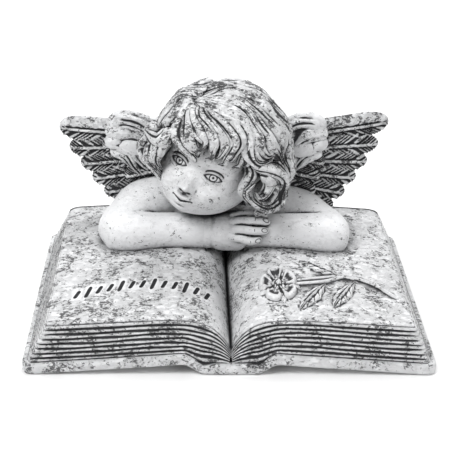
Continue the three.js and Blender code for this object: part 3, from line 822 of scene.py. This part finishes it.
RIGHT_CURLS = (
    ((30, -32, 11), (39, -29, 15), (48, -20, 10), (53, -12, 1), (54, -12, -8), (49, -22, -11),
     (41, -31, -9), (36, -36, -3), (36, -37, 4)),
    ((34, -27, 9), (41, -25, 11), (47, -18, 6), (50, -15, -2), (48, -20, -7), (43, -27, -6),
     (41, -30, -3)),
    ((36, -30, 8), (40, -29, 9), (44, -25, 4), (45, -25, -1), (43, -28, -4), (40, -30, -2)),
    ((40, -18, 16), (48, -6, 8), (53, 0, 1), (56, 0, -5)),
    ((28, -30, 11), (31, -30, 5), (33, -32, -1), (35, -30, -9), (38, -21, -16)),
    ((52, -6, -11), (52, -6, -15), (52, -6, -20)),
    ((48, -6, -15), (47, -7, -19), (43, -13, -18)),
    ((42, 2, 27), (48, 0, 15), (51, -2, 3), (55, 0, -8)),
    ((40, 10, 28), (46, 12, 14), (49, 12, 0), (50, 10, -12)),
    ((36, 17, 30), (42, 20, 14), (44, 20, 0), (42, 18, -12)),
)
HAIR_MASSES = (
    ((37, -8, -3), (10, 12, 13)),
    ((38, 6, 6), (9, 14, 16)),
    ((-29, -25, -3), (8, 10, 14)),
)


def back_locks():
    """Three tiers of shallow locks that lie close to the back of the head."""
    locks = []
    for tier, (top, bottom) in enumerate(((24, 76), (62, 108), (92, 124))):
        first = np.array([(118 + 6 * tier, top, HAIR_THICKNESS - 1),
                          (129, mix(top, bottom, 0.5), HAIR_THICKNESS + 1),
                          (116, bottom, HAIR_THICKNESS)])
        for i in range(BACK_LOCKS):
            points = first + (114 * i / (BACK_LOCKS - 1), 0, 0)
            points[1, 0] += rng.uniform(-3, 3)
            points[2] += (rng.uniform(-3, 3), rng.uniform(-3, 3), 0)
            locks.append(lock([on_skull(*point) for point in points], 13, tip=0.5))
    return locks


def hair_cap():
    flutes = 16
    hem_share = 0.78
    obj = ball("hair", 240, 80)
    share, way = polar(corners_of(obj))
    degrees = np.degrees(way)
    # the hem hangs lower behind the ears than over the forehead
    hem = mix(80, 122, smooth(np.abs(degrees), 40, 105))
    along = np.minimum(1, share / hem_share)
    fall = hem * along
    turn = degrees + 8 * np.sin(np.radians(fall * 3))
    spread = smooth(along, 0, 0.3)
    wave = 0.5 * np.sin(fall / 9 + 2 * way)
    main = (0.5 - 0.5 * np.cos(flutes * way + wave)) * spread
    fine = (0.5 - 0.5 * np.cos(flutes * 3 * way + wave * 4)) ** 1.5 * spread
    inside = smooth(share, hem_share, 1)
    lift = HAIR_THICKNESS + FLUTE_DEPTH * (1 - main) - 0.9 * fine
    move_corners(obj, on_skull(turn, fall, lift) * (1 - inside)[:, None])
    mark(obj, 1.15, np.clip(0.6 * main + 0.7 * fine, 0, 1))
    return turned(obj)


def wavy(form):
    """Slow waves that run through all the hair; the crown stays under the figurine's top."""
    x, y, z = (corners_of(form) / MM).T
    x, z = x + 1.5 * np.sin(z / 3.7 + x / 14), z + 1.1 * np.sin(x / 4.3 + y / 12)
    z = np.where(z > CROWN_START, CROWN_START + (z - CROWN_START) * CROWN_PRESS, z)
    move_corners(form, np.stack([x, y, z], 1))


def hair():
    towards_viewer = (0.13, -0.95, 0.3)
    forms = [hair_cap()]
    # the masses show only through the curls' hollows and are painted dark there: wash and painted
    # shade
    for centre, halves in HAIR_MASSES:
        forms.append(turned(ellipsoid("hair mass", centre, halves, 0.8, 0.9)))
    forms += [lock(points, 8.5, tip=0.15) for points in FRINGE]
    forms += [lock(points, 12, strands=3, tip=0.4) for points in SWEEP]
    forms += [lock(points, 10) for points in LEFT_SIDE]
    forms += [lock(points, 8, outward=towards_viewer, tip=0.4) for points in RIGHT_CURLS[:3]]
    forms += [lock(points, 9, outward=towards_viewer, tip=0.4) for points in RIGHT_CURLS[3:]]
    forms += back_locks()
    for form in forms:
        wavy(form)
    return forms


# Wings

def feather_carving(length, pitch, slant, plain_side):
    """A rib with slanting barbs on both sides, parted by narrow grooves.

    plain_side is the side, -1 or 1, that is a smooth roll with no barbs, or 0 for none.
    """
    uneven = rng.uniform(0, 6, 2)

    def carve(t, across, front, width):
        from_rib = np.abs(across) * width
        run = (t * length - slant * from_rib) / pitch
        run = run + 0.45 * np.sin(1.3 * run + uneven[0]) + 0.5 * (across > 0)
        strength = 0.6 + 0.5 * np.abs(np.sin(12.9 * np.floor(run) + uneven[1]))
        groove = (1 - np.abs(np.sin(math.pi * run))) ** 0.95
        groove = groove * smooth(from_rib, 0.4, 1.8) * strength
        by_rib = np.exp(-(((from_rib - 1.6) / 0.7) ** 2)) * (1 - smooth(t, 0.8, 0.95))
        rib = np.exp(-((from_rib / 0.9) ** 2)) * (1 - smooth(t, 0.85, 0.98))
        seen = np.where(front > 0, 1, 0.5)
        raised = 0.7 * rib + 0.45 - BARB_DEPTH * groove - 0.5 * by_rib
        low = np.clip(0.37 + 1.5 * groove + 0.55 * by_rib - 0.5 * rib, 0, 1)
        plain = smooth(across * plain_side, 0.1, 0.4)
        raised = mix(raised, 0.9, plain)
        return raised * seen, low * seen * (1 - 0.85 * plain)
    return carve


def feather(root, tip, width, normal, thickness, shingle, around=48, rings=120, pitch=4.4,
            plain_side=0):
    root, tip = np.asarray(root, float), np.asarray(tip, float)
    length = np.linalg.norm(tip - root)
    side = np.cross(unit(tip - root), normal)
    lean = math.radians(shingle)
    facing = unit(normal * math.cos(lean) + side * math.sin(lean))

    def path(t):
        return root + (tip - root) * t[:, None] + normal * (1.5 * np.sin(math.pi * t))[:, None]

    def half(t):
        swell = round_ends(t, 0.3)
        return width / 2 * swell, thickness / 2 * swell * 1.15

    return bent_form("feather", path, lambda t: facing, half, around, rings,
                     feather_carving(length, pitch, rng.uniform(1.1, 1.7), plain_side),
                     1.15, 0.4)


def wing(side, bend_reach, tip_reach, tip_height):
    normal = unit(np.array([0.12 * side, -0.97, 0.2]))
    forms = []

    def place(x, y, z):
        return np.array([side * x, y, z], float)

    for i in range(PRIMARY_COUNT):
        share = i / (PRIMARY_COUNT - 1)
        tip = place(mix(tip_reach, 76, share**1.1), mix(72, 65, share),
                    mix(tip_height, 39, share**0.85))
        root = place(mix(bend_reach - 6, 44, share), mix(64, 60, share), mix(95, 52, share))
        forms.append(feather(root, tip, mix(18, 14, share), normal, WING_THICKNESS, 12 * side,
                             plain_side=side if i == 0 else 0))
    for i in range(COVERT_COUNT):
        share = i / (COVERT_COUNT - 1)
        tip = place(mix(bend_reach + 14, 62, share), mix(62, 59, share), mix(86, 54, share))
        root = place(mix(bend_reach - 16, 36, share), 58, mix(94, 62, share))
        forms.append(feather(root, tip, 13, normal, WING_THICKNESS * 1.3, 16 * side, 40, 80, 3.3))
    bend = place(bend_reach, 62, 98)
    path = path_through([place(20, 62, 74), place(42, 63, 92), bend])
    forms.append(bent_form(
        "wing arm", path, lambda t: normal,
        lambda t: (mix(15, 11, t) * round_ends(t, 0.2), mix(8, 5.5, t) * round_ends(t, 0.2)),
        64, 60, strand_carving(7, 0.7, 0.3, 0.3), 0.45, 0.3))
    forms.append(ellipsoid("wing bend", bend, (9.5, 6.5, 10), 0.6))
    forms.append(ellipsoid("wing bend", place(bend_reach - 5.5, 56.4, 89), (13, 6.8, 9), 0.6))
    # tufts that start in a smooth round bend and run towards the shoulder
    for i, (points, width) in enumerate((
        (((6, 59, 98), (3, 57, 106), (-9, 57, 106), (-22, 58, 97), (-35, 59, 84)), 13),
        (((8, 58, 93), (4, 56, 99), (-7, 55, 97), (-18, 56, 87), (-29, 57, 75)), 14),
        (((8, 58, 86), (5, 56, 92), (-4, 55, 89), (-13, 56, 79), (-22, 57, 68)), 13),
        (((5, 58, 80), (3, 57, 84), (-3, 56, 82), (-9, 57, 73), (-16, 58, 63)), 11),
    )):
        tuft = path_through([place(bend_reach + x, y, z) for x, y, z in points])
        forms.append(bent_form(
            "tuft", tuft, lambda t: normal,
            lambda t, w=width: (w / 2 * round_ends(t, 0.2) * mix(1, 0.5, smooth(t, 0.5, 1)),
                                5.2 * round_ends(t, 0.2) * mix(1, 0.6, smooth(t, 0.5, 1))),
            40, 72, strand_carving(3.2, 1.0, 0.21 + 0.27 * i, 0.3, 0.45), 0.8, 0.3))
    return forms


# The casting

def castings():
    """The figurine in five closed pieces that run into one another."""
    return [
        book(),
        joined("arms_and_body", body()),
        joined("head_and_hair", [face(), *hair()]),
        joined("right_wing", wing(1, 56, 111, 102)),
        joined("left_wing", wing(-1, 70, 114, 95)),
    ]


def hollow_depth(obj, reach):
    """How far each point lies below its surroundings, in millimetres: positive in grooves."""
    mesh = obj.data
    ends = np.empty(len(mesh.edges) * 2, np.int64)
    mesh.edges.foreach_get("vertices", ends)
    ends = ends.reshape(-1, 2)
    places = corners_of(obj) / MM
    one, two = np.concatenate([ends, ends[:, ::-1]]).T.copy()
    count = np.maximum(np.bincount(one, minlength=len(places)), 1)
    usual = np.median(np.linalg.norm(places[ends[:, 0]] - places[ends[:, 1]], axis=1))
    soft = places
    for _ in range(int(np.clip((1.4 * reach / usual) ** 2, 3, 40))):
        mean = np.stack([np.bincount(one, soft[two, k], len(places)) / count for k in range(3)], 1)
        soft = (soft + mean) / 2
    return ((soft - places) * normals_of(obj)).sum(1)


def shade_recesses(pieces):
    """Keeps how enclosed each point is, nearby for the dark wash, further off for painted shade.
    """
    places = [corners_of(piece) for piece in pieces]
    faces, start = [], 0
    for piece, own in zip(pieces, places):
        for face in piece.data.polygons:
            faces.append([start + corner for corner in face.vertices])
        start += len(own)
    ray = BVHTree.FromPolygons(np.concatenate(places).tolist(), faces).ray_cast
    count = 14
    index = np.arange(count) + 0.5
    cos_up, sin_up = np.sqrt(1 - index / count), np.sqrt(index / count)
    turn = index * math.pi * (3 - math.sqrt(5))
    far, near = SHADE_REACH * MM, WASH_REACH * MM
    for piece, own in zip(pieces, places):
        normals = normals_of(piece)
        helper = np.where(np.abs(normals[:, 2:3]) < 0.9, [[0.0, 0, 1]], [[1.0, 0, 0]])
        tangent = unit(np.cross(helper, normals))
        other = np.cross(normals, tangent)
        near_hits, far_hits = np.zeros((2, len(own)), np.float32)
        starts = (own + normals * 0.12 * MM).tolist()
        for k in range(count):
            ways = (tangent * (sin_up[k] * math.cos(turn[k]))
                    + other * (sin_up[k] * math.sin(turn[k])) + normals * cos_up[k])
            for i, (begin, way) in enumerate(zip(starts, ways.tolist())):
                distance = ray(begin, way, far)[3]
                if distance is not None:
                    far_hits[i] += 1 - distance / far
                    if distance < near:
                        near_hits[i] += 1
        keep(piece, "recess_near", near_hits / count)
        keep(piece, "recess_far", far_hits / count)
        keep(piece, "hollow", np.clip(hollow_depth(piece, 1.6) / 0.3, -1, 1))


# Material

class Socket:
    """A shader value that can be written in sums."""

    def __init__(self, shop, link):
        self.shop = shop
        self.link = link

    def _sum(self, operation, a, b):
        return self.shop.node("ShaderNodeMath", {"operation": operation}, {0: a, 1: b})

    def __add__(self, other):
        return self._sum("ADD", self, other)

    def __radd__(self, other):
        return self._sum("ADD", other, self)

    def __sub__(self, other):
        return self._sum("SUBTRACT", self, other)

    def __rsub__(self, other):
        return self._sum("SUBTRACT", other, self)

    def __mul__(self, other):
        return self._sum("MULTIPLY", self, other)

    def __rmul__(self, other):
        return self._sum("MULTIPLY", other, self)


class Finish:
    """One material and its nodes."""

    def __init__(self, name):
        self.material = bpy.data.materials.new(name)
        self.material.use_nodes = True
        self.tree = self.material.node_tree
        self.tree.nodes.clear()

    def node(self, kind, settings=None, inputs=None, output=0):
        """One node; a key of inputs is a socket's name or its number."""
        made = self.tree.nodes.new(kind)
        for key, value in (settings or {}).items():
            setattr(made, key, value)
        for key, value in (inputs or {}).items():
            if isinstance(value, Socket):
                self.tree.links.new(value.link, made.inputs[key])
            else:
                made.inputs[key].default_value = value
        return Socket(self, made.outputs[output]) if len(made.outputs) else None

    def step(self, value, low, high):
        """0 below low, 1 above high, soft between."""
        return self.node("ShaderNodeMapRange", {"interpolation_type": "SMOOTHSTEP"},
                         {"Value": value, "From Min": low, "From Max": high})

    def blend(self, share, first, second):
        """A mix of two colours, whose sockets are numbers 6 and 7."""
        return self.node("ShaderNodeMix", {"data_type": "RGBA"},
                         {0: share, 6: first, 7: second}, output=2)

    def paint(self, **inputs):
        """The surface; in its inputs' names, _ stands for a space."""
        inputs = {name.replace("_", " "): value for name, value in inputs.items()}
        surface = self.node("ShaderNodeBsdfPrincipled", inputs=inputs)
        self.node("ShaderNodeOutputMaterial", inputs={"Surface": surface})
        return self.material


def antiqued_stone():
    shop = Finish("antiqued_silver_white_stone")
    place = shop.node("ShaderNodeTexCoord", output=3)

    def value_of(name):
        return shop.node("ShaderNodeAttribute", {"attribute_name": name}, output=2)

    def noise(scale, detail, rough, stretch=(1, 1, 1), warp=0.0):
        moved = shop.node("ShaderNodeMapping", inputs={"Vector": place, "Scale": stretch})
        return shop.node("ShaderNodeTexNoise", inputs={
            "Vector": moved, "Scale": scale, "Detail": detail, "Roughness": rough,
            "Distortion": warp})

    near = value_of("recess_near")
    far = value_of("recess_far")
    hollow = value_of("hollow")
    amount = value_of("speckle")
    low = value_of("carved_low")
    broken = noise(560, 5, 0.7, (0.6, 1, 1), 0.4) - 0.5

    # wash left in the recesses and grooves, broken up a little; then painted shade where the forms
    # enclose a point from further off
    wash = shop.step(near * 0.85 + low * 0.78 + hollow * 0.65 + broken, 0.24, 0.72)
    # painted shade, near black, where forms close round a point from further off, as under the
    # chin and between the head and arms
    painted_deep_shade = shop.step(far + broken * 0.45, 0.4, 0.72)
    # grey painted shade where forms enclose a point from further off, mixed with the real grey
    # tone of the carving's grooves and hollows
    painted_shade_and_groove_tone = shop.step(far * 0.98 + low * 0.5 + hollow * 0.4 + broken * 0.5, 0.04, 0.6)

    # specks and short streaks, gathered in patches
    patch = shop.step(noise(85, 5, 0.7, (1, 0.8, 1), 0.5), 0.38, 0.62)
    grains = noise(560, 5, 0.66, (0.68, 1, 1), 0.9)
    fine = noise(1500, 2, 0.6)
    level = 0.71 - amount * 0.08 - patch * amount * 0.16
    specks = shop.step(grains - level + (fine - 0.5) * 0.14, 0.0, 0.05)
    mottle = shop.step(noise(330, 7, 0.78, (0.7, 1, 1), 0.6), 0.43, 0.64) * amount

    pale = (0.77, 0.775, 0.785, 1)
    grey = (0.17, 0.173, 0.18, 1)
    black = (0.015, 0.015, 0.017, 1)
    colour = shop.blend(mottle * (0.08 + patch * 0.4), pale, grey)
    # the grey painted shade and groove tone, then the near-black painted shade
    colour = shop.blend(painted_shade_and_groove_tone * 0.82, colour, grey)
    colour = shop.blend(painted_deep_shade * 0.75, colour, black)
    colour = shop.blend(wash * 0.94, colour, black)
    colour = shop.blend(specks * 0.85, colour, black)

    height = (mottle * 0.9 + grains * 0.8) * (0.1 + amount) + fine * 0.08 - specks * 0.3
    normal = shop.node("ShaderNodeBump", inputs={"Strength": 0.7, "Distance": 0.0008,
                                                 "Height": height})
    rough = 0.4 + wash * 0.3 + specks * 0.15
    return shop.paint(Base_Color=colour, Roughness=rough, Normal=normal, Specular_IOR_Level=0.45)


def floor_paint():
    return Finish("pale_floor").paint(Base_Color=(0.9, 0.9, 0.9, 1), Roughness=0.9)


# Stage

CAMERA_PLACE = (-0.028016, -0.610107, 0.383546)
CAMERA_YAW, CAMERA_PITCH, CAMERA_ROLL = 2.47, 28.08, 1.58
CAMERA_LENS = 85.8
LIGHTS_AIM = Vector((0, 0, 0.06))


def camera():
    yaw, pitch, roll = (math.radians(a) for a in (CAMERA_YAW, CAMERA_PITCH, CAMERA_ROLL))
    ahead = Vector((math.sin(yaw) * math.cos(pitch), math.cos(yaw) * math.cos(pitch),
                    -math.sin(pitch)))
    level = Vector((math.cos(yaw), -math.sin(yaw), 0))
    up = level.cross(ahead)
    right = level * math.cos(roll) + up * math.sin(roll)
    top = up * math.cos(roll) - level * math.sin(roll)
    data = bpy.data.cameras.new("camera")
    data.sensor_width = 36
    data.lens = CAMERA_LENS
    data.dof.use_dof = False
    obj = bpy.data.objects.new("camera", data)
    bpy.context.scene.collection.objects.link(obj)
    turn = Matrix((right, top, -ahead)).transposed().to_4x4()
    obj.matrix_world = Matrix.Translation(CAMERA_PLACE) @ turn
    bpy.context.scene.camera = obj


def stage():
    deselect()
    bpy.ops.mesh.primitive_plane_add(size=8)
    floor = bpy.context.active_object
    floor.name = "floor"
    floor.data.materials.append(floor_paint())
    for name, place, size, power in (
        ("key", (-0.9, -0.6, 1.5), 0.7, 24),
        ("fill", (1.2, -0.9, 0.8), 1.2, 5),
        ("top", (0.3, 0.7, 1.6), 0.8, 18),
    ):
        data = bpy.data.lights.new(name, "AREA")
        data.size = size
        data.energy = power
        light = bpy.data.objects.new(name, data)
        bpy.context.scene.collection.objects.link(light)
        light.location = place
        light.rotation_euler = (LIGHTS_AIM - light.location).to_track_quat("-Z", "Y").to_euler()
    world = bpy.data.worlds.new("studio")
    bpy.context.scene.world = world
    world.use_nodes = True
    background = world.node_tree.nodes["Background"].inputs
    background["Color"].default_value = (1, 1, 1, 1)
    background["Strength"].default_value = 0.42
    bpy.context.scene.view_settings.view_transform = "Standard"


camera()
stage()

pieces = castings()
shade_recesses(pieces)
stone = antiqued_stone()
for piece in pieces:
    piece.data.materials.clear()
    piece.data.materials.append(stone)
    choose(piece)
    bpy.ops.object.shade_smooth_by_angle(angle=math.radians(CREASE_ANGLE))
    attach(piece, "root")
    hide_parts("memorial_angel")
